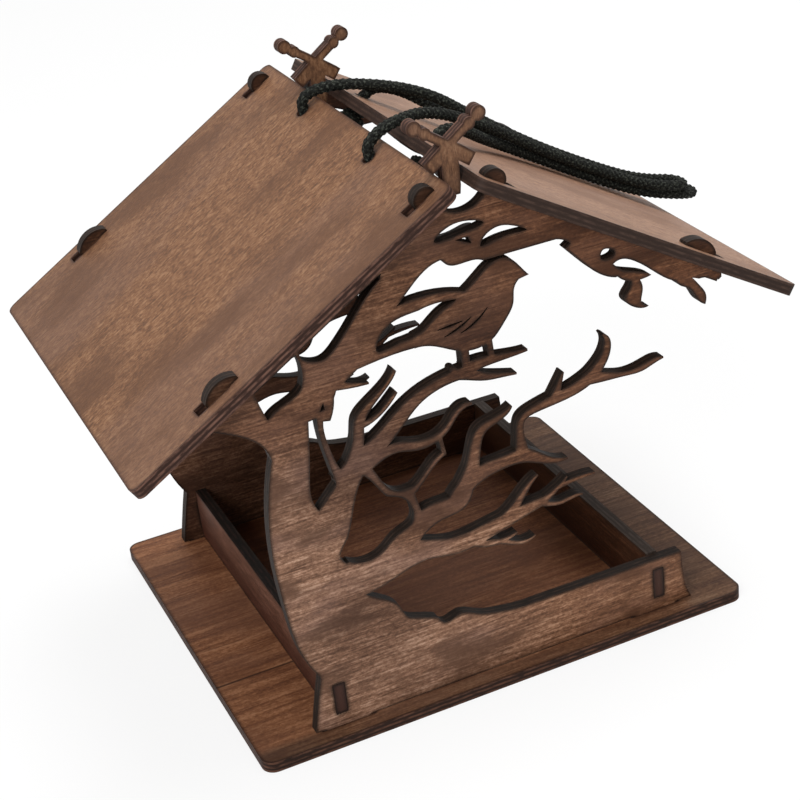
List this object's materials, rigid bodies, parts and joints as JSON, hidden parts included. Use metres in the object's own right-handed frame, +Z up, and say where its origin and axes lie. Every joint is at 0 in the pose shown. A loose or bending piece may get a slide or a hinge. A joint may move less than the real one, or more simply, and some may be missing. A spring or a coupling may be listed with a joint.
{
  "type": "hanging bird feeder house",
  "caption": "Open bird feeder of dark slotted plywood: fretwork tree-and-bird gables, low tray rails, hooked gable roof locked by lift-out ridge keys, and cord loops for hanging.",
  "frame": {"origin": "middle of the underside of the base plate", "axes": "+X to the right seen from the front, +Y to the rear, +Z up"},
  "size_m": [0.2437, 0.154, 0.197],
  "materials": {
    "plywood": "dark brown stained, matt",
    "cord": "black braided cord"
  },
  "bodies": {
    "house": {"base_plate": "plywood", "front_tree_panel": "plywood", "rear_tree_panel": "plywood", "left_tray_rail": "plywood", "right_tray_rail": "plywood", "left_roof_panel": "plywood", "right_roof_panel": "plywood", "left_cord": "cord", "right_cord": "cord", "left_cord_knots": "cord", "right_cord_knots": "cord"},
    "front_key": {"front_ridge_key": "plywood"},
    "rear_key": {"rear_ridge_key": "plywood"}
  },
  "joints": [
    {"name": "front_key_lift", "type": "slide", "parent": "house", "child": "front_key", "axis": [0, 0, 1], "range_m": [0, 0.025]},
    {"name": "rear_key_lift", "type": "slide", "parent": "house", "child": "rear_key", "axis": [0, 0, 1], "range_m": [0, 0.025]}
  ]
}
